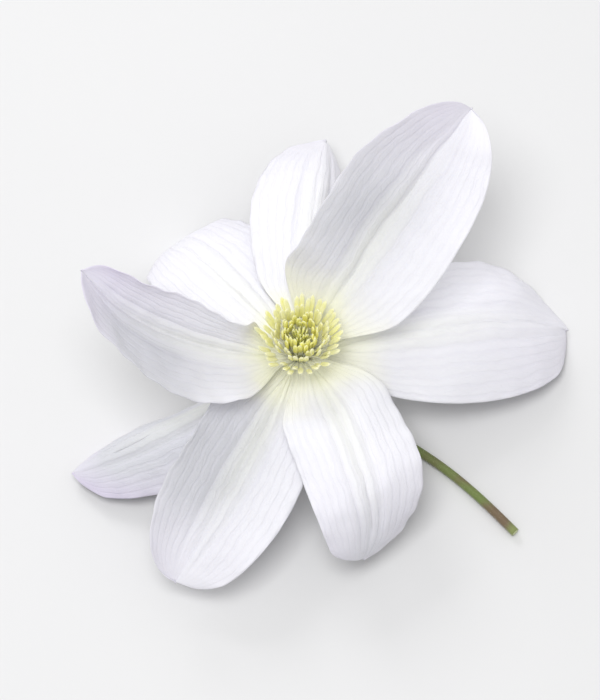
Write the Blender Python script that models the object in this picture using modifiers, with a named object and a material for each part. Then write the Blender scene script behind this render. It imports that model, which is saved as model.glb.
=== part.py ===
"""Clematis flower, picked and laid face up.

Eight broad sepals stand in three levels round a small domed receptacle, which carries
three rings of stamens and a central tuft of pistils. The stalk swells into the receptacle
at its top, bends below the flower and runs out along the surface the flower rests on.
Units are metres and degrees, with +Z up.
"""

import random
from dataclasses import dataclass
from math import atan2, cos, pi, radians, sin

import bmesh
import bpy
from mathutils import Matrix, Vector

FLOWER = "clematis_flower"

# Sepals
SEPAL_THICKNESS = 0.0007
SEPAL_FOOT_RADIUS = 0.0034
SEPAL_FIRST_LEVEL = 0.0005
SEPAL_LEVEL_STEP = 0.00115
CLAW_HALF_WIDTH = 0.0019
TIP_HALF_WIDTH = 0.0005
CURL_START = 0.55
CELLS_ALONG = 15
CELLS_ACROSS = 8
MIDRIB_STEPS = 120

# Stalk and receptacle
STALK_RADIUS = 0.0011
STALK_BEND_TOP = -0.0042
STALK_BEND_RADIUS = 0.0120
STALK_HEADING = -37.0
STALK_RUN = 0.0520
STALK_SWAY = 0.0030
STALK_SIDES = 4
RECEPTACLE_PROFILE = (
    (0.0063, 0.0003),
    (0.0062, 0.0009),
    (0.0059, 0.0016),
    (0.0054, 0.0022),
    (0.0048, 0.0026),
    (0.0040, 0.0029),
    (0.0034, 0.0030),
    (0.0004, 0.0030),
    (-0.0006, 0.0027),
    (-0.0016, 0.0020),
    (-0.0027, 0.0014),
)

# Stamens and pistils
FILAMENT_RADIUS = 0.00035
STYLE_RADIUS = 0.00027
THREAD_POINTS = 9


@dataclass(frozen=True)
class Sepal:
    """One sepal: where it springs from, its outline, and how its midrib and halves bend."""

    name: str
    azimuth: float
    level: int
    length: float
    width: float
    rise: float
    bend: float
    curl: float = 0.0
    sway: float = 0.0
    keel: tuple = (0.0, 0.0)
    cup: tuple = (0.0, 0.0)
    share: tuple = (1.0, 1.0)
    widest: float = 0.55
    blunt: float = 0.5


@dataclass(frozen=True)
class Ring:
    """A ring of stamens or pistils that spring from the receptacle at one height."""

    name: str
    count: int
    foot_radius: float
    foot_height: float
    length: float
    lean_foot: float
    lean_tip: float
    thickness: float
    profile: tuple
    turn: float = 0.0


SEPALS = (
    Sepal("sepal_rear_right", 54.5, 2, 0.0675, 0.036, 24, -4, sway=-0.003,
          keel=(46, 0), cup=(10, 0), share=(1.06, 1.0), widest=0.48, blunt=0.46),
    Sepal("sepal_right", 14, 0, 0.0675, 0.0375, 2, -26, curl=-20, sway=-0.002,
          cup=(-25, -25), widest=0.58, blunt=0.46),
    Sepal("sepal_front", -60, 2, 0.0540, 0.0275, 13, -30, curl=-66, sway=-0.011,
          keel=(0, 6), cup=(-20, -20), share=(1.06, 0.96), widest=0.48, blunt=0.30),
    Sepal("sepal_front_left", -114, 1, 0.0595, 0.030, 1, -15, curl=-20, sway=-0.005,
          keel=(0, 12), cup=(0, 38), widest=0.55, blunt=0.42),
    Sepal("sepal_left_low", 209.5, 0, 0.0585, 0.029, -4, -17, curl=-14, sway=-0.006,
          keel=(0, -42), cup=(-25, -50), share=(1.0, 0.88), widest=0.57, blunt=0.60),
    Sepal("sepal_left", 192, 2, 0.0545, 0.032, 21, 20, curl=14, sway=-0.018,
          keel=(0, 54), cup=(20, 45), share=(1.06, 0.72), blunt=0.46),
    Sepal("sepal_rear_left", 130, 0, 0.0530, 0.031, 3, -26, curl=-59, sway=0.002,
          cup=(-20, -20), share=(0.88, 1.0), blunt=0.48),
    Sepal("sepal_rear", 84, 1, 0.0630, 0.031, 8, -26, curl=-30,
          keel=(0, -40), cup=(-12, -40), blunt=0.62),
)

ANTHER_PROFILE = (1.0, 1.0, 1.0, 1.1, 1.9, 2.1, 2.0, 1.7, 0.9)
STYLE_PROFILE = (1.0, 1.3, 1.3, 1.0, 0.9, 0.8, 0.8, 0.8, 0.6)

STAMENS = (
    Ring("stamen_outer", 13, 0.0033, 0.0044, 0.0118, 42, 62, FILAMENT_RADIUS, ANTHER_PROFILE, 6),
    Ring("stamen_middle", 11, 0.0030, 0.0053, 0.0112, 56, 84, FILAMENT_RADIUS, ANTHER_PROFILE, 20),
    Ring("stamen_inner", 10, 0.0025, 0.0061, 0.0098, 68, 94, FILAMENT_RADIUS, ANTHER_PROFILE, 2),
)
PISTILS = (
    Ring("pistil_centre", 1, 0.0, 0.0067, 0.0066, 90, 90, STYLE_RADIUS, STYLE_PROFILE),
    Ring("pistil_inner", 4, 0.0008, 0.0066, 0.0062, 86, 78, STYLE_RADIUS, STYLE_PROFILE, 30),
    Ring("pistil_outer", 9, 0.00155, 0.0063, 0.0058, 84, 74, STYLE_RADIUS, STYLE_PROFILE, 10),
)


def clear_scene():
    """Remove every object that the scene starts with."""
    for item in list(bpy.data.objects):
        bpy.data.objects.remove(item, do_unlink=True)


def make_material(name, colour, roughness):
    """Return a Principled material of one colour."""
    material = bpy.data.materials.new(name)
    material.use_nodes = True
    shader = material.node_tree.nodes["Principled BSDF"]
    shader.inputs["Base Color"].default_value = (*colour, 1.0)
    shader.inputs["Roughness"].default_value = roughness
    shader.inputs["Metallic"].default_value = 0.0
    return material


def smooth_step(value):
    """Ease from 0 to 1 while value runs from 0 to 1."""
    value = min(max(value, 0.0), 1.0)
    return value * value * (3.0 - 2.0 * value)


def sepal_slope(sepal, along):
    """Slope of the midrib in radians, at a part of its length from 0 to 1."""
    curl = smooth_step((along - CURL_START) / (1.0 - CURL_START))
    return radians(sepal.rise + sepal.bend * along + sepal.curl * curl)


def midrib_point(sepal, along):
    """Reach outwards and height of the midrib at a part of its length."""
    reach = SEPAL_FOOT_RADIUS
    height = SEPAL_FIRST_LEVEL + SEPAL_LEVEL_STEP * sepal.level
    steps = max(1, round(MIDRIB_STEPS * along))
    stride = sepal.length * along / steps
    for step in range(steps):
        slope = sepal_slope(sepal, along * (step + 0.5) / steps)
        reach += stride * cos(slope)
        height += stride * sin(slope)
    return reach, height


def half_width(sepal, along):
    """Half the sepal's width at a part of its length: a claw, a broad blade and a blunt tip."""
    rising = sepal.blunt * sepal.widest / (1.0 - sepal.widest)
    peak = sepal.widest ** rising * (1.0 - sepal.widest) ** sepal.blunt
    blade = along ** rising * (1.0 - along) ** sepal.blunt / peak
    blade *= sepal.width / 2.0 * smooth_step(0.4 + 2.5 * along)
    claw = CLAW_HALF_WIDTH * (1.0 - smooth_step(4.0 * along))
    return max((blade * blade + claw * claw) ** 0.5, TIP_HALF_WIDTH)


def arc_offset(start, gain, distance):
    """Sideways and upward travel along an arc that starts at one angle and gains another."""
    if abs(gain) < 1e-6:
        return distance * cos(start), distance * sin(start)
    turn = gain * distance
    across = (sin(start + turn) - sin(start)) / gain
    up = (cos(start) - cos(start + turn)) / gain
    return across, up


def sepal_point(sepal, along, across):
    """Point of the sepal's middle surface; along runs 0 to 1, across runs -1 to 1."""
    reach, height = midrib_point(sepal, along)
    slope = sepal_slope(sepal, along)
    heading = atan2(2.0 * sepal.sway * along, sepal.length)
    tangent = Vector((cos(slope), 0.0, sin(slope)))
    normal = Vector((-sin(slope), 0.0, cos(slope)))
    side = Vector((0.0, 1.0, 0.0)) * cos(heading) - tangent * sin(heading)
    half = 0 if across > 0.0 else 1
    open_out = smooth_step(along / 0.3)
    keel = radians(sepal.keel[half]) * open_out
    cup = radians(sepal.cup[half]) * open_out
    sideways, up = arc_offset(keel, cup, abs(across))
    width = half_width(sepal, along) * sepal.share[half]
    point = Vector((reach, sepal.sway * along * along, height))
    point += side * (width * sideways * (1.0 if half == 0 else -1.0)) + normal * (width * up)
    return Matrix.Rotation(radians(sepal.azimuth), 3, "Z") @ point


def make_sepal(sepal, material):
    """Model a sepal as a grid bent over its middle surface and thickened both ways."""
    mesh = bpy.data.meshes.new(sepal.name)
    grid = bmesh.new()
    bmesh.ops.create_grid(grid, x_segments=CELLS_ALONG, y_segments=CELLS_ACROSS, size=1.0)
    for vertex in grid.verts:
        along = 1.0 - (0.5 - 0.5 * vertex.co.x) ** 1.25
        vertex.co = sepal_point(sepal, along, vertex.co.y)
    grid.to_mesh(mesh)
    grid.free()
    mesh.materials.append(material)
    blade = bpy.data.objects.new(sepal.name, mesh)
    thicken = blade.modifiers.new("thickness", "SOLIDIFY")
    thicken.thickness = SEPAL_THICKNESS
    thicken.offset = 0.0
    return blade


def make_tube(name, points, radii, material, resolution):
    """Model a round tube with filled ends along points, each with its own radius."""
    curve = bpy.data.curves.new(name, "CURVE")
    curve.dimensions = "3D"
    curve.bevel_depth = max(radii)
    curve.bevel_resolution = resolution
    curve.use_fill_caps = True
    spline = curve.splines.new("POLY")
    spline.points.add(len(points) - 1)
    for control, point, radius in zip(spline.points, points, radii):
        control.co = (*point, 1.0)
        control.radius = radius / curve.bevel_depth
    curve.materials.append(material)
    return bpy.data.objects.new(name, curve)


def make_stalk(material):
    """Model the receptacle and its stalk as one turned and bent stem."""
    points = [Vector((0.0, 0.0, height)) for height, _ in RECEPTACLE_PROFILE]
    radii = [radius for _, radius in RECEPTACLE_PROFILE]
    bend_steps = 7
    for step in range(bend_steps + 1):
        angle = step / bend_steps * pi / 2.0
        reach = STALK_BEND_RADIUS * (1.0 - cos(angle))
        points.append(Vector((reach, 0.0, STALK_BEND_TOP - STALK_BEND_RADIUS * sin(angle))))
    run_steps = 12
    for step in range(1, run_steps + 1):
        part = step / run_steps
        sideways = STALK_SWAY * sin(pi * part)
        reach = STALK_BEND_RADIUS + STALK_RUN * part
        points.append(Vector((reach, sideways, points[-1].z)))
    radii += [STALK_RADIUS] * (len(points) - len(radii))
    turn = Matrix.Rotation(radians(STALK_HEADING), 3, "Z")
    return make_tube("flower_stalk", [turn @ point for point in points], radii, material, STALK_SIDES)


def thread_points(ring, azimuth, stretch):
    """Points of one stamen or pistil, which leaves its foot at one lean and ends at another."""
    reach, height = ring.foot_radius, ring.foot_height
    stride = ring.length * stretch / (THREAD_POINTS - 1)
    points = [Vector((reach, 0.0, height))]
    for step in range(THREAD_POINTS - 1):
        part = (step + 0.5) / (THREAD_POINTS - 1)
        lean = radians(ring.lean_foot + (ring.lean_tip - ring.lean_foot) * part)
        reach += stride * cos(lean)
        height += stride * sin(lean)
        points.append(Vector((reach, 0.0, height)))
    turn = Matrix.Rotation(radians(azimuth), 3, "Z")
    return [turn @ point for point in points]


def make_ring(ring, material, dice):
    """Model a ring of stamens or pistils, each its own piece, of slightly uneven lengths."""
    threads = []
    for number in range(ring.count):
        azimuth = ring.turn + 360.0 * number / ring.count + dice.uniform(-2.0, 2.0)
        points = thread_points(ring, azimuth, dice.uniform(0.94, 1.06))
        radii = [ring.thickness * swell for swell in ring.profile]
        name = f"{ring.name}_{number + 1:02d}"
        threads.append(make_tube(name, points, radii, material, 1))
    return threads


def stand_on_origin(parts, base):
    """Move the parent so that the flower's box is centred over the origin and rests on it."""
    bpy.context.view_layer.update()
    graph = bpy.context.evaluated_depsgraph_get()
    corners = []
    for part in parts:
        shape = part.evaluated_get(graph)
        mesh = shape.to_mesh()
        corners += [shape.matrix_world @ vertex.co for vertex in mesh.vertices]
        shape.to_mesh_clear()
    low = Vector([min(corner[axis] for corner in corners) for axis in range(3)])
    high = Vector([max(corner[axis] for corner in corners) for axis in range(3)])
    base.location = (-(low.x + high.x) / 2.0, -(low.y + high.y) / 2.0, -low.z)


def main():
    """Build the flower in its own collection."""
    clear_scene()
    collection = bpy.data.collections.new(FLOWER)
    bpy.context.scene.collection.children.link(collection)
    petal_white = make_material("sepal_white", (0.86, 0.84, 0.88), 0.55)
    anther_yellow = make_material("stamen_yellow", (0.80, 0.72, 0.24), 0.60)
    style_green = make_material("pistil_green", (0.55, 0.58, 0.16), 0.65)
    stalk_green = make_material("stalk_green", (0.22, 0.26, 0.10), 0.60)
    dice = random.Random(7)
    parts = [make_sepal(sepal, petal_white) for sepal in SEPALS]
    for ring in STAMENS:
        parts += make_ring(ring, anther_yellow, dice)
    for ring in PISTILS:
        parts += make_ring(ring, style_green, dice)
    parts.append(make_stalk(stalk_green))
    base = bpy.data.objects.new("resting_point", None)
    collection.objects.link(base)
    for part in parts:
        collection.objects.link(part)
        part.parent = base
    stand_on_origin(parts, base)


main()
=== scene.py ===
"""Clematis flower: the finished look of a picked bloom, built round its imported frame.

Eight veined sepals, a boss of yellow stamens round a tuft of silky pistils, and a ribbed,
downy stalk are modelled in place of the plain solids of the frame. Units are metres and
degrees, with +Z up. The flower's own centre is the foot of its receptacle, and every piece
is made round that centre and then moved to where the frame's middle pistil stands.
"""

import logging
from collections.abc import Callable, Iterable
from dataclasses import KW_ONLY, dataclass, field
from enum import Enum
from math import atan2, cos, exp, pi, radians, sin
from random import Random

import bmesh
import bpy
from mathutils import Matrix, Vector, noise


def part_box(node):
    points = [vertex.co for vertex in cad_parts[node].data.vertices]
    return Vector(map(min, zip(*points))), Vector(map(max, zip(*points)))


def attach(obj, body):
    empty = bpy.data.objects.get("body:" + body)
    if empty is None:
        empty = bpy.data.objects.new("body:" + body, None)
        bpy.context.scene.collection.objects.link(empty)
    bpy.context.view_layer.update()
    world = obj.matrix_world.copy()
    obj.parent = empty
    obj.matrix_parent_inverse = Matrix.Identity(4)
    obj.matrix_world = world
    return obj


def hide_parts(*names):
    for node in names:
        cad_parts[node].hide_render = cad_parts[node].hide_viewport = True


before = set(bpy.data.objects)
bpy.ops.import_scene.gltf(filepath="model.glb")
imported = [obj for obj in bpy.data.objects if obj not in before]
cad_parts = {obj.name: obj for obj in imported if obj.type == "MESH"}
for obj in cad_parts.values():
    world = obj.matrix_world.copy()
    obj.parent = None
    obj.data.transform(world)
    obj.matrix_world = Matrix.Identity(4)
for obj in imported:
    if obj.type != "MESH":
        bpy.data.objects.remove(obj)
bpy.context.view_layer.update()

LOG = logging.getLogger("clematis_flower")
BODY = "root"

# The middle pistil's foot stands this high over the flower's centre
PISTIL_FOOT = 0.0067

# What a sepal's mesh carries at each point for its finish, in the order that both use; the last two are
# the strength of a lilac flush, which on some sepals is partly painted shade, and the strength of painted
# shade
SEPAL_LAYERS = ("part_along", "across", "along", "half_width", "blush_and_shade", "painted_shade")

# The stretch of the tissue's tone that shows
TONE_SPAN = (0.35, 0.65)

NodeTree = bpy.types.NodeTree
Socket = bpy.types.NodeSocket
Sockets = bpy.types.bpy_prop_collection
Material = bpy.types.Material
Shape = bmesh.types.BMesh
Colour = tuple[float, float, float]
Pattern = tuple[Socket, Socket]
Section = Callable[[float, float], tuple[float, float]]


class Slot(Enum):
    """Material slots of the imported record."""

    SEPAL = "sepal"
    STAMEN = "stamen"
    PISTIL = "pistil"
    STALK = "stalk"


def smooth_step(value: float) -> float:
    """Ease from 0 to 1 while value runs from 0 to 1."""
    value = min(max(value, 0.0), 1.0)
    return value * value * (3.0 - 2.0 * value)


def turned(point: Vector, azimuth: float) -> Vector:
    """Turn a point about the flower's axis by an azimuth in degrees."""
    return Matrix.Rotation(radians(azimuth), 3, "Z") @ point


class Graph:
    """Adds nodes to one node tree and links them."""

    def __init__(self, tree: NodeTree) -> None:
        """Start on a node tree."""
        self.tree = tree

    def feed(self, socket: Socket, value: object) -> None:
        """Give a socket what it works on.

        Args:
            socket: The socket.
            value: Another socket, which is linked to it, or a plain value.
        """
        if isinstance(value, Socket):
            self.tree.links.new(value, socket)
        elif socket.type == "RGBA":
            socket.default_value = (*value, 1.0)
        else:
            socket.default_value = value

    def node(self, kind: str, inputs: dict[object, object], **settings: object) -> Sockets:
        """Add a node and feed its inputs.

        Args:
            kind: The node's type.
            inputs: What its inputs get, by their name or number.
            settings: The node's plain properties.

        Returns:
            The node's outputs.
        """
        node = self.tree.nodes.new(kind)
        for name, value in settings.items():
            setattr(node, name, value)
        for key, value in inputs.items():
            self.feed(node.inputs[key], value)
        return node.outputs

    def math(self, operation: str, *numbers: object, clamp: bool = False) -> Socket:
        """Combine up to three numbers, and clamp the result to between 0 and 1 if asked."""
        inputs = dict(enumerate(numbers))
        return self.node("ShaderNodeMath", inputs, operation=operation, use_clamp=clamp)[0]

    def span(
        self, value: object, low: float, high: float, start: float = 0.0, end: float = 1.0
    ) -> Socket:
        """Map a value smoothly from the range of low to high to that of start to end."""
        inputs = {"Value": value, "From Min": low, "From Max": high, "To Min": start, "To Max": end}
        return self.node("ShaderNodeMapRange", inputs, interpolation_type="SMOOTHSTEP")[0]

    def mix(self, factor: object, first: object, second: object) -> Socket:
        """Mix two colours by a factor."""
        return self.node("ShaderNodeMix", {0: factor, 6: first, 7: second}, data_type="RGBA")[2]

    def noise(self, vector: Socket, scale: object, detail: float) -> Socket:
        """Read a soft noise value at a place."""
        inputs = {"Vector": vector, "Scale": scale, "Detail": detail}
        return self.node("ShaderNodeTexNoise", inputs)["Fac"]

    def attribute(self, name: str) -> Socket:
        """Read a number that the mesh carries at each point."""
        return self.node("ShaderNodeAttribute", {}, attribute_name=name)["Fac"]

    def place(self) -> Socket:
        """Read the Object coordinates."""
        return self.node("ShaderNodeTexCoord", {})["Object"]

    def bump(self, height: Socket) -> Socket:
        """Turn a height in metres into a normal."""
        return self.node("ShaderNodeBump", {"Height": height, "Distance": 1.0, "Strength": 1.0})["Normal"]

    def group(self, tree: NodeTree, **inputs: object) -> Sockets:
        """Place a shared effect, feed its inputs and give its outputs."""
        return self.node("ShaderNodeGroup", inputs, node_tree=tree)


class SharedEffect:
    """A shader effect that several finishes use, built once as a node group."""

    def __init__(self, name: str, inputs: tuple[str, ...], outputs: tuple[str, ...]) -> None:
        """Make the group with its inputs and outputs.

        Args:
            name: The group's name.
            inputs: Names of the inputs; Place is a vector and the rest are numbers.
            outputs: Names of the number outputs.
        """
        self.tree = bpy.data.node_groups.new(name, "ShaderNodeTree")
        for label in inputs:
            kind = "NodeSocketVector" if label == "Place" else "NodeSocketFloat"
            self.tree.interface.new_socket(label, in_out="INPUT", socket_type=kind)
        for label in outputs:
            self.tree.interface.new_socket(label, in_out="OUTPUT", socket_type="NodeSocketFloat")
        self.graph = Graph(self.tree)
        self.source = self.tree.nodes.new("NodeGroupInput").outputs
        self.result = self.tree.nodes.new("NodeGroupOutput").inputs


@dataclass(frozen=True)
class VeinNet:
    """The veins of a sepal: long veins that follow its ribs and a fine net between them."""

    drift_scale: float = 130.0
    drift: float = 0.16
    vein_turns: float = 46.0
    long_strength: float = 0.75
    net_scale: tuple[float, float, float] = (620.0, 240.0, 0.0)
    net_line: float = 0.10
    net_strength: float = 0.25

    def build(self) -> NodeTree:
        """Build the veins' node group.

        Returns:
            A group with inputs Across, Along and Half in metres and Part from 0 to 1, and
            outputs Mask, 1 on a vein, and Height.
        """
        effect = SharedEffect("vein_net", ("Across", "Along", "Part", "Half"), ("Mask", "Height"))
        graph, source = effect.graph, effect.source
        here = graph.node("ShaderNodeCombineXYZ", {0: source["Across"], 1: source["Along"]})[0]
        drift = graph.noise(here, self.drift_scale, 2.0)
        bowed = graph.math("MULTIPLY_ADD", drift, self.drift, -self.drift / 2.0)
        fanned = graph.math("ADD", graph.math("DIVIDE", source["Across"], source["Half"]), bowed)
        lines = graph.math("SINE", graph.math("MULTIPLY", fanned, self.vein_turns))
        veins = graph.math("MULTIPLY", graph.span(lines, 0.10, 1.0), self.long_strength)
        there = graph.node("ShaderNodeVectorMath", {0: here, 1: self.net_scale}, operation="MULTIPLY")[0]
        cells = {"Vector": there, "Scale": 1.0}
        edge = graph.node("ShaderNodeTexVoronoi", cells, feature="DISTANCE_TO_EDGE")["Distance"]
        net = graph.math("MULTIPLY", graph.span(edge, self.net_line, 0.0), self.net_strength)
        fade = graph.span(source["Part"], 1.0, 0.80, 0.25, 1.0)
        mask = graph.math("MULTIPLY", graph.math("MAXIMUM", veins, net), fade, clamp=True)
        graph.feed(effect.result["Mask"], mask)
        graph.feed(effect.result["Height"], graph.math("SUBTRACT", 1.0, mask))
        return effect.tree


def make_tissue() -> NodeTree:
    """Build the fine grain of plant tissue and its slow change of tone.

    Returns:
        A group with inputs Place and Scale, and outputs Tone and Grain, each near 0.5.
    """
    effect = SharedEffect("tissue", ("Place", "Scale"), ("Tone", "Grain"))
    graph, source = effect.graph, effect.source
    tone = graph.noise(source["Place"], graph.math("MULTIPLY", source["Scale"], 0.06), 2.0)
    grain = graph.noise(source["Place"], source["Scale"], 4.0)
    graph.feed(effect.result["Tone"], tone)
    graph.feed(effect.result["Grain"], grain)
    return effect.tree


@dataclass(frozen=True)
class SharedEffects:
    """The node groups that the finishes share."""

    veins: NodeTree = field(default_factory=lambda: VeinNet().build())
    tissue: NodeTree = field(default_factory=make_tissue)


def new_material(name: str, **plain: object) -> tuple[Material, Graph, Sockets]:
    """Make a material with one Principled shader.

    Args:
        name: The material's name.
        plain: Values of the shader's own sockets, whose names use _ for a space.

    Returns:
        The material, its graph and its shader's sockets.
    """
    material = bpy.data.materials.new(name)
    material.use_nodes = True
    sockets = material.node_tree.nodes["Principled BSDF"].inputs
    for label, value in plain.items():
        sockets[label.replace("_", " ")].default_value = value
    return material, Graph(material.node_tree), sockets


@dataclass(frozen=True)
class PlantFinish:
    """What the flower's finishes share: grain, a little sheen, and light that passes through."""

    name: str
    _: KW_ONLY
    scale: float = 2500.0
    grain_depth: float = 0.00006
    grain_roughness: float = 0.2
    roughness: float = 0.6
    sheen: float = 0.0
    sheen_roughness: float = 0.5
    translucency: float = 0.0
    scatter: float = 0.0008
    scatter_tint: Colour = (1.0, 0.95, 0.7)

    def material(self, effects: SharedEffects) -> Material:
        """Build the material.

        Args:
            effects: The shared node groups.

        Returns:
            The finished material.
        """
        material, graph, sockets = new_material(
            self.name, Subsurface_Weight=self.translucency, Subsurface_Radius=self.scatter_tint,
            Subsurface_Scale=self.scatter, Sheen_Weight=self.sheen,
            Sheen_Roughness=self.sheen_roughness, Specular_IOR_Level=0.3,
        )
        tissue = graph.group(effects.tissue, Place=graph.place(), Scale=self.scale)
        smooth = self.roughness - self.grain_roughness / 2.0
        rough = graph.math("MULTIPLY_ADD", tissue["Grain"], self.grain_roughness, smooth)
        grain = graph.math("MULTIPLY", tissue["Grain"], self.grain_depth)
        colour, height = self.pattern(graph, effects, tissue["Tone"], grain)
        graph.feed(sockets["Base Color"], colour)
        graph.feed(sockets["Roughness"], rough)
        graph.feed(sockets["Normal"], graph.bump(height))
        return material

    def pattern(self, graph: Graph, effects: SharedEffects, tone: Socket, grain: Socket) -> Pattern:
        """Give the colour and height of the finish's own pattern, which each kind lays itself."""
        raise NotImplementedError


@dataclass(frozen=True)
class SepalFinish(PlantFinish):
    """Petal-like tissue: white, veined, green-yellow at the claw and flushed lilac towards the tip, with
    painted shade in grey. The lilac is the tissue's own blush and, where it is strong, also painted shade.
    """

    white: Colour = (0.85, 0.845, 0.895)
    # Lilac of the flush: the tissue's own blush, and on some sepals also painted shade
    blush_and_shade: Colour = (0.69, 0.63, 0.79)
    # Grey of the painted shade, laid where a sepal lies in shade
    painted_shade: Colour = (0.62, 0.625, 0.665)
    vein: Colour = (0.70, 0.67, 0.78)
    claw: Colour = (0.95, 0.95, 0.66)
    bar: Colour = (0.84, 0.86, 0.72)
    bar_strength: float = 0.35
    bar_across: tuple[float, float] = (0.34, 0.06)
    bar_along: tuple[float, float] = (0.95, 0.25)
    claw_strength: float = 0.7
    claw_along: tuple[float, float] = (0.27, 0.04)
    blush_and_shade_strength: float = 0.6
    vein_strength: float = 0.18
    vein_depth: float = 0.00010
    blotch: float = 0.12
    scale: float = 1500.0
    grain_depth: float = 0.00005
    grain_roughness: float = 0.12
    roughness: float = 0.52
    sheen: float = 0.12
    sheen_roughness: float = 0.4
    translucency: float = 0.25
    scatter: float = 0.0012
    scatter_tint: Colour = (1.0, 0.95, 0.9)

    def pattern(self, graph: Graph, effects: SharedEffects, tone: Socket, grain: Socket) -> Pattern:
        """Lay the lilac flush (partly painted shade), the grey painted shade, the bar, the veins and the
        claw over the white.

        Args:
            graph: The material's graph.
            effects: The shared node groups.
            tone: The tissue's tone, near 0.5.
            grain: The height of its grain.

        Returns:
            The colour and the height.
        """
        part, across, along, half, blush_and_shade, painted_shade = map(graph.attribute, SEPAL_LAYERS)
        veins = graph.group(effects.veins, Across=across, Along=along, Part=part, Half=half)
        blotch = graph.span(tone, *TONE_SPAN, -self.blotch, self.blotch)
        # The lilac flush: the sepal's own blush, made strong on some sepals as painted shade
        blush_and_shade = graph.math("MULTIPLY_ADD", blotch, blush_and_shade, blush_and_shade)
        blush_and_shade = graph.math("MULTIPLY", blush_and_shade, self.blush_and_shade_strength, clamp=True)
        # Painted shade: grey laid over the white round one spot of some sepals
        painted_shade = graph.math("MULTIPLY_ADD", blotch, painted_shade, painted_shade, clamp=True)
        side = graph.math("ABSOLUTE", graph.math("DIVIDE", across, half))
        bar = graph.math("MULTIPLY", graph.span(side, *self.bar_across), graph.span(part, *self.bar_along))
        claw = graph.span(graph.math("MULTIPLY_ADD", blotch, 0.2, part), *self.claw_along)
        colour = graph.mix(blush_and_shade, self.white, self.blush_and_shade)
        colour = graph.mix(painted_shade, colour, self.painted_shade)
        colour = graph.mix(graph.math("MULTIPLY", bar, self.bar_strength), colour, self.bar)
        colour = graph.mix(graph.math("MULTIPLY", veins["Mask"], self.vein_strength), colour, self.vein)
        colour = graph.mix(graph.math("MULTIPLY", claw, self.claw_strength), colour, self.claw)
        return colour, graph.math("MULTIPLY_ADD", veins["Height"], self.vein_depth, grain)


@dataclass(frozen=True)
class TissueFinish(PlantFinish):
    """Plain plant tissue of two tones, with a third towards its free end."""

    base: Colour
    deep: Colour
    tip: Colour
    tip_start: float = 0.7

    def pattern(self, graph: Graph, effects: SharedEffects, tone: Socket, grain: Socket) -> Pattern:
        """Lay the two tones and the colour of the free end; the height is the grain's."""
        tones = graph.mix(graph.span(tone, *TONE_SPAN), self.deep, self.base)
        end = graph.span(graph.attribute("part_along"), self.tip_start, 1.0)
        return graph.mix(end, tones, self.tip), grain


@dataclass(frozen=True)
class FloorFinish:
    """A plain pale matt floor with a trace of unevenness."""

    name: str = "pale_floor"
    pale: Colour = (0.76, 0.76, 0.765)
    shade: Colour = (0.74, 0.74, 0.745)

    def material(self) -> Material:
        """Build the material.

        Returns:
            The finished material.
        """
        material, graph, sockets = new_material(self.name)
        patch = graph.noise(graph.place(), 9.0, 2.0)
        graph.feed(sockets["Base Color"], graph.mix(patch, self.pale, self.shade))
        graph.feed(sockets["Roughness"], graph.span(patch, 0.3, 0.7, 0.75, 0.85))
        return material


FINISHES: tuple[PlantFinish, ...] = (
    SepalFinish("sepal_face"),
    SepalFinish(
        "sepal_back", bar=(0.70, 0.74, 0.52), bar_strength=0.8, blush_and_shade_strength=0.5,
        vein_strength=0.5, roughness=0.62, vein_depth=0.00022,
    ),
    TissueFinish(
        "filament", (0.95, 0.95, 0.82), (0.93, 0.93, 0.74), (0.95, 0.94, 0.72), translucency=0.4,
    ),
    TissueFinish(
        "anther", (0.97, 0.95, 0.58), (0.96, 0.93, 0.45), (0.97, 0.94, 0.52), scale=4500.0,
        tip_start=0.9, roughness=0.7, grain_depth=0.00010, translucency=0.6, scatter=0.0015,
    ),
    TissueFinish(
        "young_anther", (0.96, 0.92, 0.36), (0.94, 0.89, 0.28), (0.96, 0.93, 0.42), scale=4500.0,
        tip_start=0.9, roughness=0.7, grain_depth=0.00008, translucency=0.6, scatter=0.0015,
    ),
    TissueFinish(
        "pistil", (0.96, 0.95, 0.36), (0.94, 0.93, 0.28), (0.97, 0.96, 0.46), roughness=0.55,
        translucency=0.7, scatter=0.0015,
    ),
    TissueFinish(
        "silk", (0.96, 0.96, 0.62), (0.93, 0.93, 0.54), (0.96, 0.96, 0.72), roughness=0.45,
        translucency=0.8, scatter=0.0015,
    ),
    TissueFinish("receptacle", (0.93, 0.93, 0.58), (0.90, 0.91, 0.50), (0.93, 0.93, 0.58)),
    TissueFinish(
        "stalk", (0.16, 0.21, 0.06), (0.17, 0.12, 0.07), (0.24, 0.28, 0.10),
        scale=1800.0, tip_start=0.96, roughness=0.55, sheen=0.2,
    ),
    TissueFinish("pith", (0.62, 0.66, 0.40), (0.54, 0.60, 0.32), (0.62, 0.66, 0.40), roughness=0.7),
)


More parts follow.
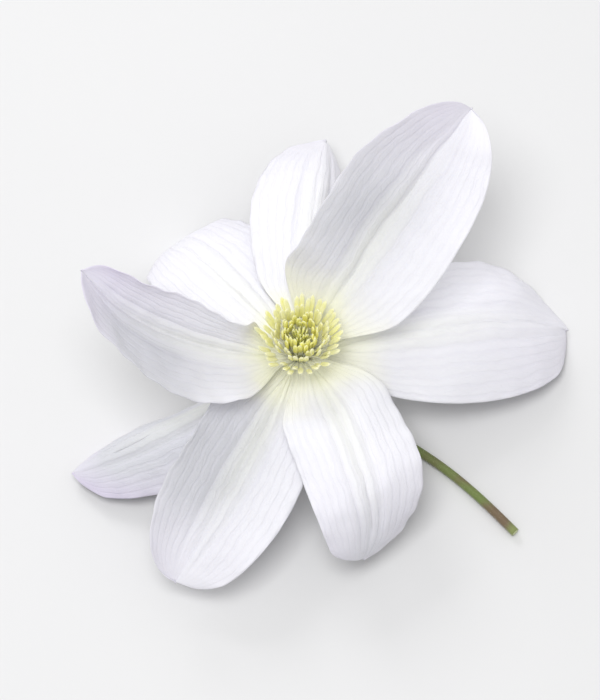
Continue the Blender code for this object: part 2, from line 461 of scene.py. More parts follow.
class Bouquet:
    """Dresses finished pieces and places them in the scene and on the frame's body."""

    def __init__(self) -> None:
        """Find the flower's centre by its middle pistil, and make the finishes and the collection."""
        low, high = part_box("pistil_centre_01")
        self.centre = Vector(((low.x + high.x) / 2.0, (low.y + high.y) / 2.0, low.z - PISTIL_FOOT))
        effects = SharedEffects()
        self.materials = {finish.name: finish.material(effects) for finish in FINISHES}
        self.collection = bpy.data.collections.new("clematis_flower")
        bpy.context.scene.collection.children.link(self.collection)

    def place(
        self, name: str, shape: Shape, finishes: tuple[str, ...], slot: Slot, *stands_for: str
    ) -> bpy.types.Object:
        """Turn a finished shape into a piece of the flower.

        Args:
            name: The piece's name.
            shape: Its shape round the flower's centre; it is freed.
            finishes: Names of its finishes, in the order of its material slots.
            slot: The record's slot for the piece; not used.
            stands_for: The frame's nodes that it replaces.

        Returns:
            The piece, at the origin with its place in its mesh.
        """
        bmesh.ops.translate(shape, vec=self.centre, verts=shape.verts)
        mesh = bpy.data.meshes.new(name)
        shape.to_mesh(mesh)
        shape.free()
        mesh.shade_smooth()
        for finish in finishes:
            mesh.materials.append(self.materials[finish])
        piece = bpy.data.objects.new(name, mesh)
        self.collection.objects.link(piece)
        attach(piece, BODY)
        if stands_for:
            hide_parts(*stands_for)
        LOG.info("%s: %d points", name, len(mesh.vertices))
        return piece


@dataclass
class Sepal:
    """One sepal: where it springs from, its outline, and how its midrib and halves bend.

    Of the two values in keel, cup, share and the lilac flush, the first is for the half on the left of
    the midrib, looking outwards. The flush is the sepal's own blush and, where strong, also painted
    shade. The three values of the painted shade give its middle along, its middle across and its
    strength. Ripples and puckers give a frequency and a height.
    """

    name: str
    azimuth: float
    level: int
    length: float
    width: float
    rise: float
    bend: float
    curl: float = 0.0
    sway: float = 0.0
    keel: tuple[float, float] = (0.0, 0.0)
    cup: tuple[float, float] = (0.0, 0.0)
    share: tuple[float, float] = (1.0, 1.0)
    widest: float = 0.55
    blunt: float = 0.5
    wave: float = 0.0007
    phase: float = 0.0
    # Strength of the lilac flush on each half: the sepal's own blush, and where strong also painted shade
    blush_and_shade: tuple[float, float] = (0.5, 0.5)
    # Painted shade: its middle along, its middle across and its strength
    painted_shade: tuple[float, float, float] = (0.5, 0.0, 0.0)
    foot_radius: float = 0.0034
    foot_inset: float = 0.0008
    first_level: float = 0.0005
    level_step: float = 0.00115
    claw: float = 0.0019
    claw_end: float = 0.25
    point_length: float = 0.09
    point_width: float = 0.0036
    nib: float = 0.006
    least_width: float = 0.00012
    curl_start: float = 0.55
    thickness: float = 0.0007
    rib_depth: float = 0.00042
    rib_spread: float = 0.25
    rib_breadth: float = 0.065
    margin_waves: float = 2.1
    margin_crimps: float = 9.0
    ripples: tuple[float, float] = (75.0, 0.0009)
    puckers: tuple[float, float] = (260.0, 0.00018)
    # How far the painted shade spreads along and across
    painted_shade_spread: tuple[float, float] = (0.28, 0.80)
    cells_along: int = 112
    cells_across: int = 72
    rib_steps: int = 200
    tip_crowding: float = 1.3
    midrib: list[Vector] = field(default_factory=list)

    def slope(self, part: float) -> float:
        """Slope of the midrib in radians, at a part of its length from 0 to 1."""
        curl = smooth_step((part - self.curl_start) / (1.0 - self.curl_start))
        return radians(self.rise + self.bend * part + self.curl * curl)

    def lay_midrib(self) -> None:
        """Work out the midrib at even steps of its length."""
        reach = self.foot_radius
        height = self.first_level + self.level_step * self.level
        stride = self.length / self.rib_steps
        self.midrib = [Vector((reach, 0.0, height))]
        for step in range(self.rib_steps):
            slope = self.slope((step + 0.5) / self.rib_steps)
            reach += stride * cos(slope)
            height += stride * sin(slope)
            self.midrib.append(Vector((reach, 0.0, height)))

    def midrib_point(self, part: float) -> Vector:
        """Find a point of the midrib, swayed to one side.

        Args:
            part: How far along, from 0 to 1.

        Returns:
            The point, before the sepal is turned to its azimuth.
        """
        place = min(part * self.rib_steps, self.rib_steps - 1e-6)
        step = int(place)
        point = self.midrib[step].lerp(self.midrib[step + 1], place - step)
        point.y = self.sway * part * part
        return point

    def half_width(self, part: float) -> float:
        """Work out half the width from a claw, a broad blade and a small point.

        Args:
            part: How far along the midrib, from 0 to 1.

        Returns:
            Half the width there.
        """
        blade_part = min(part / (1.0 - self.nib), 1.0)
        rising = self.blunt * self.widest / (1.0 - self.widest)
        peak = self.widest ** rising * (1.0 - self.widest) ** self.blunt
        blade = blade_part ** rising * (1.0 - blade_part) ** self.blunt / peak
        blade *= self.width / 2.0 * smooth_step(0.4 + 2.5 * part)
        past_claw = smooth_step(part / self.claw_end)
        claw = self.claw * (1.0 - past_claw)
        point = self.point_width * past_claw * min((1.0 - part) / self.point_length, 1.0)
        return max((blade * blade + claw * claw + point * point) ** 0.5, self.least_width)

    def rib_groove(self, part: float, share: float) -> float:
        """Work out how deep the three long ribs are.

        Args:
            part: How far along the midrib, from 0 to 1.
            share: How far across, from -1 to 1.

        Returns:
            The depth there as a part of the full depth.
        """
        pinch = sin(pi * part) ** 0.5 if 0.0 < part < 1.0 else 0.0
        fade = smooth_step(part / 0.1) * smooth_step((1.0 - part) / 0.25)
        groove = 0.0
        for line in (-self.rib_spread, 0.0, self.rib_spread):
            offset = (share - line * (0.5 + 0.5 * pinch)) / self.rib_breadth
            groove += exp(-offset * offset)
        return groove * fade

    def point(self, part: float, share: float) -> Vector:
        """Point of the sepal's middle surface round the flower's centre.

        Args:
            part: How far along the midrib, from 0 to 1.
            share: How far across, from -1 to 1 at the margins.

        Returns:
            The point, with ribs, ripples and a waved margin.
        """
        slope = self.slope(part)
        heading = atan2(2.0 * self.sway * part, self.length)
        tangent = Vector((cos(slope), 0.0, sin(slope)))
        normal = Vector((-sin(slope), 0.0, cos(slope)))
        side = Vector((0.0, 1.0, 0.0)) * cos(heading) - tangent * sin(heading)
        half, hand = (0, 1.0) if share > 0.0 else (1, -1.0)
        open_out = smooth_step(part / 0.3)
        keel = radians(self.keel[half]) * open_out
        gain = radians(self.cup[half]) * open_out
        distance = abs(share)
        turn = keel + gain * distance
        if abs(gain) < 1e-6:
            sideways, up = distance * cos(keel), distance * sin(keel)
        else:
            sideways = (sin(turn) - sin(keel)) / gain
            up = (cos(keel) - cos(turn)) / gain
        width = self.half_width(part) * self.share[half]
        point = self.midrib_point(part) + side * (width * sideways * hand) + normal * (width * up)
        out = normal * cos(turn) - side * (hand * sin(turn))
        point += out * self.relief(part, share, point)
        point.x -= self.foot_inset * (1.0 - smooth_step(part / 0.05))
        return turned(point, self.azimuth)

    def relief(self, part: float, share: float, point: Vector) -> float:
        """Work out the ribs, the ripples and the waved margin.

        Args:
            part: How far along the midrib, from 0 to 1.
            share: How far across, from -1 to 1.
            point: The place on the plain surface.

        Returns:
            Their height over the plain surface.
        """
        distance = abs(share)
        outer = smooth_step(part / 0.35)
        phase, seed = self.phase, self.phase * 10.0
        if share > 0.0:
            phase += 0.35
            seed += 3.0
        margin = self.wave * distance ** 3 * sin(2.0 * pi * (self.margin_waves * part + phase))
        crimp = 0.30 * self.wave * distance ** 8 * sin(2.0 * pi * (self.margin_crimps * part + seed))
        scale, height = self.ripples
        ripple = noise.noise(point * scale + Vector((seed, 0.0, 0.0))) * height
        scale, height = self.puckers
        pucker = noise.noise(point * scale + Vector((0.0, seed, 0.0))) * height
        relief = (margin + crimp + ripple + pucker) * outer
        return relief - self.rib_depth * self.rib_groove(part, share)

    def blush_and_shade_at(self, part: float, share: float) -> float:
        """Strength of the lilac flush at a place, from 0 to 1; on some sepals it is strong enough to serve
        as painted shade.
        """
        strength = self.blush_and_shade[0] if share > 0.0 else self.blush_and_shade[1]
        return strength * smooth_step((part - 0.35) / 0.65) * (0.45 + 0.55 * abs(share))

    def painted_shade_at(self, part: float, share: float) -> float:
        """Strength of the painted shade at a place: a grey patch that lies round one spot and fades out
        softly.
        """
        (middle, side, strength), (long, broad) = self.painted_shade, self.painted_shade_spread
        return strength * exp(-((part - middle) / long) ** 2 - ((share - side) / broad) ** 2)

    def thin_at(self, part: float, share: float) -> float:
        """Thickness at a place as a part of the claw's thickness."""
        full = max(0.62 - 0.36 * abs(share) ** 2, 1.0 - smooth_step(part / 0.12))
        return full * (1.0 - 0.3 * smooth_step((part - 0.9) / 0.1))

    def shape(self) -> Shape:
        """Model the sepal's middle surface.

        Returns:
            A grid that carries what the finish reads and the thickness at each point.
        """
        self.lay_midrib()
        grid = bmesh.new()
        layers = [grid.verts.layers.float.new(name) for name in SEPAL_LAYERS]
        weights = grid.verts.layers.deform.verify()
        bmesh.ops.create_grid(
            grid, x_segments=self.cells_along, y_segments=self.cells_across, size=1.0
        )
        for vertex in grid.verts:
            share = vertex.co.y
            part = 1.0 - (0.5 - 0.5 * vertex.co.x) ** self.tip_crowding
            width = self.half_width(part)
            blush_and_shade, painted_shade = self.blush_and_shade_at(part, share), self.painted_shade_at(part, share)
            values = (part, share * width, part * self.length, width, blush_and_shade, painted_shade)
            for layer, value in zip(layers, values):
                vertex[layer] = value
            vertex[weights][0] = self.thin_at(part, share)
            vertex.co = self.point(part, share)
        return grid

    def build(self, bouquet: Bouquet) -> None:
        """Model the sepal in place of its solid.

        Args:
            bouquet: Where it is placed.
        """
        finishes = ("sepal_face", "sepal_back")
        piece = bouquet.place(f"{self.name}_blade", self.shape(), finishes, Slot.SEPAL, self.name)
        piece.vertex_groups.new(name="thickness")
        thicken = piece.modifiers.new("thickness", "SOLIDIFY")
        thicken.thickness = self.thickness
        thicken.offset = 0.0
        thicken.vertex_group = "thickness"
        thicken.material_offset = 1
        thicken.material_offset_rim = 0


def unit_tube(sides: int, rings: int) -> Shape:
    """Make a closed tube of radius 1 that stands from 0 to 1 along Z.

    Args:
        sides: Sides of the tube.
        rings: Bands along the tube.

    Returns:
        The tube's shape.
    """
    tube = bmesh.new()
    bmesh.ops.create_cone(
        tube, cap_ends=True, segments=sides, radius1=1.0, radius2=1.0, depth=1.0,
        matrix=Matrix.Translation((0.0, 0.0, 0.5)),
    )
    upright = [edge for edge in tube.edges if abs(edge.verts[0].co.z - edge.verts[1].co.z) > 0.5]
    bmesh.ops.subdivide_edges(tube, edges=upright, cuts=rings - 1)
    return tube


@dataclass(frozen=True)
class Route:
    """The smooth path that a thread of the flower follows, in the plane through its axis."""

    foot_radius: float
    foot_height: float
    length: float
    lean_foot: float
    lean_tip: float
    azimuth: float
    side_lean: float = 0.0
    steps: int = 40

    def place(self, part: float) -> tuple[Vector, Vector, Vector, Vector]:
        """Find a point of the route and the directions there.

        Args:
            part: How far along, from 0 to 1.

        Returns:
            The point, and the directions along, outwards and sideways.
        """
        reach, height = self.foot_radius, self.foot_height
        stride = self.length * part / self.steps
        for step in range(self.steps):
            lean = self.lean(part * (step + 0.5) / self.steps)
            reach += stride * cos(lean)
            height += stride * sin(lean)
        lean = self.lean(part)
        aside = self.length * radians(self.side_lean) * part * part
        point = Vector((reach, aside, height))
        along = Vector((cos(lean), 0.0, sin(lean)))
        outwards = Vector((sin(lean), 0.0, -cos(lean)))
        sideways = Vector((0.0, 1.0, 0.0))
        return tuple(turned(vector, self.azimuth) for vector in (point, along, outwards, sideways))

    def lean(self, part: float) -> float:
        """Angle over level in radians at a part of the length."""
        return radians(self.lean_foot + (self.lean_tip - self.lean_foot) * part)


def sweep(
    target: Shape, route: Route, span: tuple[float, float], sides: int, rings: int,
    section: Section, material_index: int,
) -> None:
    """Bend a tube along a stretch of a route and add it to a shape.

    Args:
        target: The shape that the tube joins, which carries part_along.
        route: The path that the tube follows.
        span: Where the tube starts and ends on the route, from 0 to 1.
        sides: Sides of the tube.
        rings: Bands along the tube.
        section: Gives the tube's half depth and half breadth, from its own part and angle.
        material_index: The material slot of its faces.
    """
    tube = unit_tube(sides, rings)
    layer = tube.verts.layers.float.new("part_along")
    for vertex in tube.verts:
        own = vertex.co.z
        angle = atan2(vertex.co.y, vertex.co.x)
        part = span[0] + (span[1] - span[0]) * own
        point, _, outwards, sideways = route.place(part)
        half_depth, half_breadth = section(own, angle)
        vertex.co = point + outwards * (cos(angle) * half_depth) + sideways * (sin(angle) * half_breadth)
        vertex[layer] = part
    for face in tube.faces:
        face.material_index = material_index
    mesh = bpy.data.meshes.new("joined")
    tube.to_mesh(mesh)
    tube.free()
    target.from_mesh(mesh)
    bpy.data.meshes.remove(mesh)


@dataclass
class Ring:
    """A ring of stamens or pistils as the frame has them, with the fillers between."""

    name: str
    count: int
    foot_radius: float
    foot_height: float
    length: float
    lean_foot: float
    lean_tip: float
    turn: float = 0.0
    fillers_per_gap: int = 2
    filler_inset: float = 0.0003

    def routes(self, dice: Random) -> dict[str, Route]:
        """Routes of the pieces that the frame has, from the frame's own draws.

        Args:
            dice: The draws that the frame was built with.

        Returns:
            Each node's route.
        """
        found = {}
        for number in range(self.count):
            azimuth = self.turn + 360.0 * number / self.count + dice.uniform(-2.0, 2.0)
            length = self.length * dice.uniform(0.94, 1.06)
            found[f"{self.name}_{number + 1:02d}"] = Route(
                self.foot_radius, self.foot_height, length, self.lean_foot, self.lean_tip, azimuth
            )
        return found

    def fillers(self, dice: Random, stretch: float = 1.0) -> list[Route]:
        """Routes of the pieces that stand between those of the frame.

        Args:
            dice: Draws for their uneven lengths and leans.
            stretch: How much longer they are than the frame's own.

        Returns:
            One route for each filler.
        """
        found = []
        per_gap = self.fillers_per_gap
        for number in range(self.count * per_gap):
            place = number // per_gap + (number % per_gap + 1) / (per_gap + 1)
            azimuth = self.turn + 360.0 * place / self.count + dice.uniform(-3.0, 3.0)
            found.append(Route(
                self.foot_radius - self.filler_inset,
                self.foot_height + dice.uniform(-0.0002, 0.0004),
                self.length * stretch * dice.uniform(0.84, 1.02),
                self.lean_foot + dice.uniform(-1.0, 7.0), self.lean_tip + dice.uniform(-8.0, 10.0),
                azimuth, dice.uniform(-3.0, 3.0),
            ))
        return found


def threads(model: Callable[[Shape, Route], None], routes: Iterable[Route]) -> Shape:
    """Model a thread along each route, all in one shape.

    Args:
        model: Adds one thread to a shape.
        routes: The paths that they follow.

    Returns:
        The shape, which carries part_along.
    """
    shape = bmesh.new()
    shape.verts.layers.float.new("part_along")
    for route in routes:
        model(shape, route)
    return shape


@dataclass
class StamenBoss:
    """The stamens: flat pale filaments with long yellow anthers of two lobes each."""

    rings: tuple[Ring, ...] = (
        Ring("stamen_outer", 13, 0.0033, 0.0044, 0.0118, 42, 62, 6),
        Ring("stamen_middle", 11, 0.0030, 0.0053, 0.0112, 56, 84, 20),
        Ring("stamen_inner", 10, 0.0025, 0.0061, 0.0098, 68, 94, 2),
    )
    anther_start: float = 0.50
    overlap: float = 0.04
    filament_breadth: float = 0.00046
    filament_depth: float = 0.00022
    anther_breadth: float = 0.00062
    anther_depth: float = 0.00046

    def filament_section(self, own: float, _: float) -> tuple[float, float]:
        """Half depth and half breadth of a filament, which narrows towards its anther."""
        taper = 1.0 - 0.35 * own
        return self.filament_depth * taper, self.filament_breadth * taper

    def anther_section(self, own: float, angle: float) -> tuple[float, float]:
        """Shape an anther: two lobes with a groove between.

        Args:
            own: How far along the anther, from 0 to 1.
            angle: The angle round it in radians.

        Returns:
            Half its depth and half its breadth.
        """
        ends = max(1.0 - abs(2.0 * own - 1.0) ** 3.2, 0.03) ** 0.5
        depth = self.anther_depth * ends * (0.45 + 0.55 * abs(sin(angle)) ** 0.7)
        return depth, self.anther_breadth * ends

    def stamen(self, shape: Shape, route: Route) -> None:
        """Add one stamen to a shape.

        Args:
            shape: The shape that it joins.
            route: The path that it follows.
        """
        sweep(shape, route, (0.0, self.anther_start + self.overlap), 6, 6, self.filament_section, 0)
        sweep(shape, route, (self.anther_start, 1.0), 12, 8, self.anther_section, 1)

    def build(self, bouquet: Bouquet, dice: Random) -> None:
        """Model every stamen.

        Args:
            bouquet: Where they are placed.
            dice: The draws that the frame was built with.
        """
        filler_dice = Random(21)
        for ring in self.rings:
            finishes = ("filament", "young_anther" if ring is self.rings[-1] else "anther")
            for node, route in ring.routes(dice).items():
                shape = threads(self.stamen, [route])
                bouquet.place(f"{node}_thread", shape, finishes, Slot.STAMEN, node)
            between = threads(self.stamen, ring.fillers(filler_dice))
            bouquet.place(f"{ring.name}_between", between, finishes, Slot.STAMEN)


@dataclass
class PistilTuft:
    """The pistils: ovaries drawn out into slim styles, each with a little silk."""

    rings: tuple[Ring, ...] = (
        Ring("pistil_centre", 1, 0.0, 0.0067, 0.0066, 90, 90),
        Ring("pistil_inner", 4, 0.0008, 0.0066, 0.0062, 86, 78, 30),
        Ring("pistil_outer", 9, 0.00155, 0.0063, 0.0058, 84, 74, 10),
    )
    filler_stretch: float = 1.35
    style_radius: float = 0.00036
    hair_count: int = 14
    hair_span: tuple[float, float] = (0.12, 0.80)
    hair_length: float = 0.0011
    hair_radius: float = 0.00004
    silk_dice: Random = field(default_factory=lambda: Random(5))

    def style_section(self, own: float, _: float) -> tuple[float, float]:
        """Half depth and half breadth of a pistil: a swollen foot and a slim style."""
        swell = 0.85 + 0.5 * exp(-((own - 0.14) / 0.13) ** 2) - 0.25 * own
        return (self.style_radius * swell * (1.0 - 0.5 * smooth_step((own - 0.92) / 0.08)),) * 2

    def pistil(self, shape: Shape, route: Route) -> None:
        """Add one pistil and its silk to a shape.

        Args:
            shape: The shape that it joins.
            route: The path that it follows.
        """
        dice = self.silk_dice
        sweep(shape, route, (0.0, 1.0), 6, 9, self.style_section, 0)
        for _ in range(self.hair_count):
            part = dice.uniform(*self.hair_span)
            point, along, outwards, sideways = route.place(part)
            angle = dice.uniform(0.0, 2.0 * pi)
            away = outwards * cos(angle) + sideways * sin(angle)
            direction = (along * dice.uniform(0.9, 1.6) + away).normalized()
            length = self.hair_length * dice.uniform(0.6, 1.1)
            root = point + away * (self.style_radius * 0.6)
            add_hair(shape, root, direction, length, self.hair_radius, 1)

    def build(self, bouquet: Bouquet, dice: Random) -> None:
        """Model every pistil.

        Args:
            bouquet: Where they are placed.
            dice: The draws that the frame was built with.
        """
        finishes = ("pistil", "silk")
        for ring in self.rings:
            for node, route in ring.routes(dice).items():
                shape = threads(self.pistil, [route])
                bouquet.place(f"{node}_style", shape, finishes, Slot.PISTIL, node)
        between = threads(self.pistil, (
            route for ring in self.rings[1:] for route in ring.fillers(self.silk_dice, self.filler_stretch)
        ))
        bouquet.place("pistils_between", between, finishes, Slot.PISTIL)


def add_hair(
    shape: Shape, root: Vector, direction: Vector, length: float, radius: float,
    material_index: int,
) -> None:
    """Add one fine hair to a shape.

    Args:
        shape: The shape that it joins.
        root: Where it springs from.
        direction: Where it points.
        length: Its length in metres.
        radius: Its radius at the root in metres.
        material_index: The material slot of its faces.
    """
    turn = direction.to_track_quat("Z", "Y").to_matrix().to_4x4()
    made = bmesh.ops.create_cone(
        shape, cap_ends=True, segments=3, radius1=radius, radius2=0.0, depth=length,
        matrix=Matrix.Translation(root + direction * (length / 2.0)) @ turn,
    )
    for face in {face for vertex in made["verts"] for face in vertex.link_faces}:
        face.material_index = material_index


@dataclass
class Stalk:
    """The receptacle and its stalk: one stem, ribbed and downy, cut at its far end."""

    radius: float = 0.0011
    bend_top: float = -0.0042
    bend_radius: float = 0.0120
    heading: float = -37.0
    run: float = 0.0520
    sway: float = 0.0030
    dome: tuple[tuple[float, float], ...] = (
        (0.0063, 0.0003), (0.0062, 0.0009), (0.0059, 0.0016), (0.0054, 0.0022),
        (0.0048, 0.0026), (0.0040, 0.0029), (0.0034, 0.0030), (0.0004, 0.0030),
        (-0.0006, 0.0027), (-0.0016, 0.0020), (-0.0027, 0.0014),
    )
    receptacle_part: float = 0.06
    sides: int = 30
    rings: int = 150
    top_crowding: float = 1.25
    ribs: int = 6
    ribs_start: float = 0.12
    ribs_fade: float = 0.1
    rib_depth: float = 0.07
    cut_steps: tuple[tuple[float, float, int], ...] = (
        (0.94, 0.00004, 0), (0.86, 0.0, 1), (0.96, -0.00008, 1), (0.30, 0.00003, 1),
        (0.70, -0.00006, 0),
    )
    hairs: int = 900
    hair_lengths: tuple[float, float] = (0.0003, 0.0006)
    hair_radius: float = 0.00002
    bend_steps: int = 12
    run_steps: int = 24

    def centre_line(self) -> list[tuple[Vector, float]]:
        """Lay the stem from the dome's top to the cut.

        Returns:
            Points of the stem with its radius.
        """
        line = [(Vector((0.0, 0.0, height)), radius) for height, radius in self.dome]
        for step in range(self.bend_steps + 1):
            angle = step / self.bend_steps * pi / 2.0
            reach = self.bend_radius * (1.0 - cos(angle))
            height = self.bend_top - self.bend_radius * sin(angle)
            line.append((Vector((reach, 0.0, height)), self.radius))
        floor = self.bend_top - self.bend_radius
        for step in range(1, self.run_steps + 1):
            part = step / self.run_steps
            place = Vector((self.bend_radius + self.run * part, self.sway * sin(pi * part), floor))
            line.append((place, self.radius))
        return line

    def sample(self, line: list[tuple[Vector, float]], part: float) -> tuple[Vector, Vector, float]:
        """Find a place on the stem's line.

        Args:
            line: Points of the stem with its radius.
            part: How far along, from 0 to 1.

        Returns:
            The point, the direction along and the radius.
        """
        gaps = [(line[i + 1][0] - line[i][0]).length for i in range(len(line) - 1)]
        left = part * sum(gaps)
        for number, gap in enumerate(gaps):
            if left <= gap or number == len(gaps) - 1:
                break
            left -= gap
        share = min(left / gap, 1.0)
        (start, start_radius), (end, end_radius) = line[number], line[number + 1]
        radius = start_radius + (end_radius - start_radius) * share
        return start.lerp(end, share), (end - start).normalized(), radius

    def build(self, bouquet: Bouquet) -> None:
        """Model the stem in place of its solid.

        Args:
            bouquet: Where it is placed.
        """
        line = self.centre_line()
        stem = unit_tube(self.sides, self.rings)
        layer = stem.verts.layers.float.new("part_along")
        stations = {}
        for vertex in stem.verts:
            part = vertex.co.z ** self.top_crowding
            if part not in stations:
                stations[part] = self.sample(line, part)
            point, along, radius = stations[part]
            angle = atan2(vertex.co.y, vertex.co.x)
            ribbed = smooth_step((part - self.ribs_start) / self.ribs_fade)
            radius *= 1.0 - self.rib_depth * ribbed * (0.5 - 0.5 * cos(self.ribs * angle))
            vertex.co = turned(point + self.away(along, angle) * radius, self.heading)
            vertex[layer] = part
        for face in stem.faces:
            if all(vertex[layer] < self.receptacle_part for vertex in face.verts):
                face.material_index = 3
        self.finish_cut(stem)
        self.add_down(stem, line)
        finishes = ("stalk", "pith", "silk", "receptacle")
        bouquet.place("stalk_and_receptacle", stem, finishes, Slot.STALK, "flower_stalk")

    def add_down(self, stem: Shape, line: list[tuple[Vector, float]]) -> None:
        """Add fine hairs all over the stem, but none that would reach under its lowest side.

        Args:
            stem: The stem's shape.
            line: Points of the stem with its radius.
        """
        dice = Random(11)
        lowest = self.bend_top - self.bend_radius - self.radius
        for _ in range(self.hairs):
            part = dice.uniform(0.08, 0.99) ** 1.2
            point, along, radius = self.sample(line, part)
            away = self.away(along, dice.uniform(0.0, 2.0 * pi))
            around = self.away(along, 0.0).cross(along)
            lean = away + along * dice.uniform(-0.5, 0.5) + around * dice.uniform(-0.3, 0.3)
            lean.normalize()
            length = dice.uniform(*self.hair_lengths)
            if (point + away * radius + lean * length).z < lowest:
                continue
            root = turned(point + away * radius * 0.95, self.heading)
            add_hair(stem, root, turned(lean, self.heading), length, self.hair_radius, 2)

    @staticmethod
    def away(along: Vector, angle: float) -> Vector:
        """Find a direction away from the stem's line.

        Args:
            along: The direction along the stem.
            angle: The angle from the stem's own upright plane, in radians.

        Returns:
            The direction.
        """
        sideways = Vector((0.0, 1.0, 0.0))
        sideways = (sideways - along * sideways.dot(along)).normalized()
        outwards = sideways.cross(along).normalized()
        return outwards * cos(angle) + sideways * sin(angle)

    def finish_cut(self, stem: Shape) -> None:
        """Give the cut end a rounded rim, a green rind and a sunken paler pith.

        Args:
            stem: The stem's shape.
        """
        caps = [face for face in stem.faces if len(face.verts) == self.sides]
        cut = max(caps, key=lambda face: face.calc_center_median().xy.length)
        cut.normal_update()
        out = cut.normal.copy()
        for scale, rise, material_index in self.cut_steps:
            cut = bmesh.ops.extrude_discrete_faces(stem, faces=[cut])["faces"][0]
            middle = cut.calc_center_median()
            for vertex in cut.verts:
                vertex.co = middle + (vertex.co - middle) * scale + out * rise
            cut.material_index = material_index
            for edge in cut.edges:
                edge.smooth = False


@dataclass
class Flower:
    """The whole flower."""

    # Five sepals carry grey painted shade, and the strong lilac flush on the low left and left sepals is
    # also painted shade
    sepals: tuple[Sepal, ...] = (
        Sepal("sepal_rear_right", 54.5, 2, 0.0675, 0.036, 24, -4, sway=-0.003, keel=(46, 0),
              cup=(10, 0), share=(1.06, 1.0), widest=0.48, blunt=0.46, phase=0.1,
              blush_and_shade=(0.9, 0.2), painted_shade=(0.48, 0.50, 0.9)),
        Sepal("sepal_right", 14, 0, 0.0675, 0.0375, 2, -26, curl=-20, sway=-0.002,
              cup=(-25, -25), widest=0.58, blunt=0.46, phase=0.4, blush_and_shade=(0.35, 0.5)),
        Sepal("sepal_front", -60, 2, 0.0540, 0.0275, 13, -30, curl=-66, sway=-0.011,
              keel=(0, 6), cup=(-20, -20), share=(1.06, 0.96), widest=0.48, blunt=0.30,
              phase=0.7, blush_and_shade=(0.7, 0.6), painted_shade=(0.97, 0.0, 0.7)),
        Sepal("sepal_front_left", -114, 1, 0.0595, 0.030, 1, -15, curl=-20, sway=-0.005,
              keel=(0, 12), cup=(0, 38), widest=0.55, blunt=0.42, phase=0.2, blush_and_shade=(0.2, 0.6),
              painted_shade=(0.50, -0.6, 1.4)),
        Sepal("sepal_left_low", 209.5, 0, 0.0585, 0.029, -4, -17, curl=-14, sway=-0.006,
              keel=(0, -42), cup=(-25, -50), share=(1.0, 0.88), widest=0.57, blunt=0.60,
              phase=0.9, blush_and_shade=(2.2, 2.0), painted_shade=(0.66, 0.0, 1.6)),
        Sepal("sepal_left", 192, 2, 0.0545, 0.032, 21, 20, curl=14, sway=-0.018,
              keel=(0, 54), cup=(20, 45), share=(1.06, 0.72), blunt=0.46, phase=0.5,
              blush_and_shade=(1.4, 1.3), painted_shade=(0.64, 0.6, 1.2)),
        Sepal("sepal_rear_left", 130, 0, 0.0530, 0.031, 3, -26, curl=-59, sway=0.002,
              cup=(-20, -20), share=(0.88, 1.0), blunt=0.48, phase=0.3, blush_and_shade=(0.4, 0.5)),
        Sepal("sepal_rear", 84, 1, 0.0630, 0.031, 8, -26, curl=-30,
              keel=(0, -40), cup=(-12, -40), blunt=0.62, phase=0.8, blush_and_shade=(0.4, 0.3)),
    )

    def build(self, bouquet: Bouquet) -> None:
        """Model every piece of the flower.

        Args:
            bouquet: Where the pieces are placed.
        """
        for sepal in self.sepals:
            sepal.build(bouquet)
        dice = Random(7)
        StamenBoss().build(bouquet, dice)
        PistilTuft().build(bouquet, dice)
        Stalk().build(bouquet)


@dataclass(frozen=True)
class SoftLight:
    """A square soft light that points at the flower."""

    name: str
    offset: tuple[float, float, float]
    size: float
    power: float

    def hang(self, centre: Vector) -> None:
        """Hang the light at its offset from the flower.

        Args:
            centre: The flower's centre.
        """
        lamp = bpy.data.lights.new(self.name, "AREA")
        lamp.size = self.size
        lamp.energy = self.power
        light = bpy.data.objects.new(self.name, lamp)
        offset = Vector(self.offset)
        light.location = centre + offset
        light.rotation_euler = (-offset).to_track_quat("-Z", "Y").to_euler()
        bpy.context.scene.collection.objects.link(light)


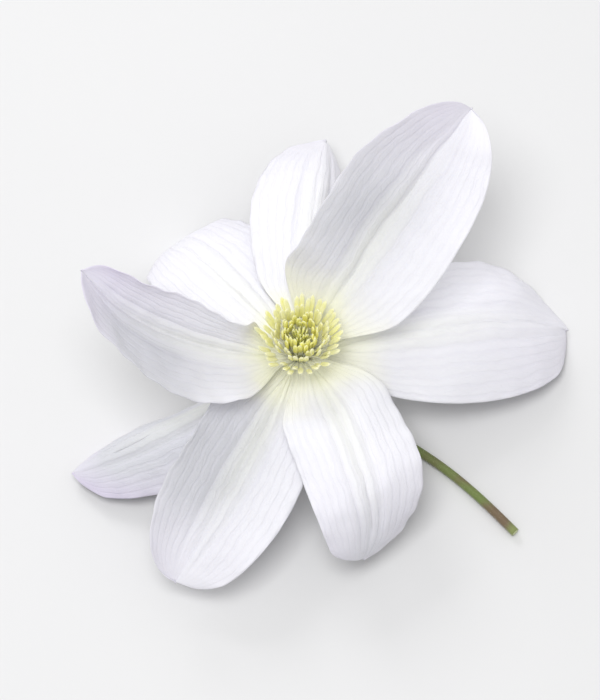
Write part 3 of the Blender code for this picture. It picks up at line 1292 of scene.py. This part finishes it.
@dataclass
class Studio:
    """A pale floor, soft lights and the camera."""

    floor_size: float = 3.0
    elevation: float = 67.0
    lens: float = 200.0
    view_width: float = 0.142
    frame_shape: float = 700 / 600
    aim_height: float = 0.004
    world_strength: float = 0.58
    lights: tuple[SoftLight, ...] = (
        SoftLight("key_light", (-0.36, 0.73, 0.58), 0.40, 2.7),
        SoftLight("fill_light", (-0.13, -0.16, 0.98), 0.45, 5.1),
    )

    def lay_floor(self) -> None:
        """Lay the floor under the flower."""
        plane = bmesh.new()
        bmesh.ops.create_grid(plane, x_segments=1, y_segments=1, size=self.floor_size / 2.0)
        mesh = bpy.data.meshes.new("floor")
        plane.to_mesh(mesh)
        plane.free()
        mesh.materials.append(FloorFinish().material())
        floor = bpy.data.objects.new("floor", mesh)
        bpy.context.scene.collection.objects.link(floor)

    def set_world(self) -> None:
        """Give the scene an even white surround."""
        world = bpy.data.worlds.new("white_surround")
        world.use_nodes = True
        shader = world.node_tree.nodes["Background"]
        shader.inputs["Color"].default_value = (1.0, 1.0, 1.0, 1.0)
        shader.inputs["Strength"].default_value = self.world_strength
        bpy.context.scene.world = world
        bpy.context.scene.view_settings.view_transform = "Standard"

    def stand_camera(self, aim: Vector) -> None:
        """Stand the camera in front of the flower, looking down on it.

        Args:
            aim: The point at the middle of the view.
        """
        data = bpy.data.cameras.new("camera")
        data.lens = self.lens
        camera = bpy.data.objects.new("camera", data)
        distance = self.view_width * self.frame_shape * self.lens / data.sensor_width
        angle = radians(self.elevation)
        back = Vector((0.0, -cos(angle), sin(angle)))
        camera.location = aim + back * distance
        camera.rotation_euler = (-back).to_track_quat("-Z", "Y").to_euler()
        data.clip_start = 0.01
        data.clip_end = 20.0
        bpy.context.scene.collection.objects.link(camera)
        bpy.context.scene.camera = camera

    def build(self, centre: Vector) -> None:
        """Set up the whole studio.

        Args:
            centre: The flower's centre.
        """
        self.lay_floor()
        self.set_world()
        for light in self.lights:
            light.hang(centre)
        self.stand_camera(centre + Vector((0.0, 0.0, self.aim_height)))


def main() -> None:
    logging.basicConfig(level=logging.INFO, format="%(name)s: %(message)s")
    bouquet = Bouquet()
    Studio().build(bouquet.centre)
    Flower().build(bouquet)


if __name__ == "__main__":
    main()
